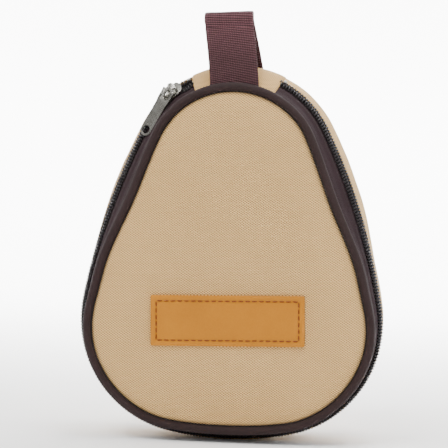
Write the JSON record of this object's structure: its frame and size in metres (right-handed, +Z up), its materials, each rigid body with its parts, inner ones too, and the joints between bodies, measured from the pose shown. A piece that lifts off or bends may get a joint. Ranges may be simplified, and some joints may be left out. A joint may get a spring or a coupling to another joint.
{
  "type": "padded zip pouch",
  "caption": "Pear-shaped padded canvas pouch with a zip round the rim, piped seams, a leather label and a webbing hanging loop; the front opens as a flap.",
  "frame": {"origin": "centre of the bounding box on the surface that the pouch stands on", "axes": "+Z up to the hanging loop, +Y to the back panel, +X to the right as seen from the front"},
  "size_m": [0.1666, 0.067, 0.235],
  "materials": {
    "canvas": "warm sand twill canvas, matt",
    "foam": "open-cell foam sheet, matt",
    "lining": "plain woven nylon lining, slight sheen",
    "trim": "dark brown woven bias and zip tape, matt",
    "coil": "dark nylon coil, semi-gloss",
    "cord": "twisted filler cord",
    "webbing": "ribbed nylon webbing, slight sheen",
    "leather": "smooth orange-tan leather, cut edge",
    "thread": "waxed thread",
    "metal": "gunmetal nickel plating, satin"
  },
  "bodies": {
    "shell": {"back_panel": "canvas", "gusset_canvas": "canvas", "bridge_canvas": "canvas", "back_padding": "foam", "gusset_padding": "foam", "bridge_padding": "foam", "back_lining": "lining", "gusset_lining": "lining", "bridge_lining": "lining", "back_piping_cover": "trim", "back_seam_binding": "trim", "rear_zip_tape": "trim", "rear_zip_coil": "coil", "back_piping_cord": "cord", "webbing_loop": "webbing", "loop_bartacks": "webbing", "zip_end_stops": "metal"},
    "front_flap": {"front_panel": "canvas", "front_padding": "foam", "front_lining": "lining", "front_piping_cover": "trim", "front_piping_cord": "cord", "front_seam_binding": "trim", "front_zip_tape": "trim", "front_zip_coil": "coil", "leather_label": "leather", "label_stitching": "thread"},
    "zip_slider": {"slider_body": "metal", "slider_bail": "metal"},
    "zip_pull": {"pull_tab": "metal"}
  },
  "joints": [
    {"name": "flap_open", "type": "hinge", "parent": "shell", "child": "front_flap", "pos_m": [0, -0.028, 0.19354], "axis": [-1, 0, 0], "range_deg": [0, 115]},
    {"name": "slider_travel", "type": "hinge", "parent": "shell", "child": "zip_slider", "pos_m": [0, -0.015, 0.14666], "axis": [0, -1, 0], "range_deg": [0, 10]},
    {"name": "pull_swing", "type": "hinge", "parent": "zip_slider", "child": "zip_pull", "pos_m": [-0.03703, -0.01845, 0.1908], "axis": [-0.7935, 0.4416, 0.4188], "range_deg": [0, 110]}
  ]
}
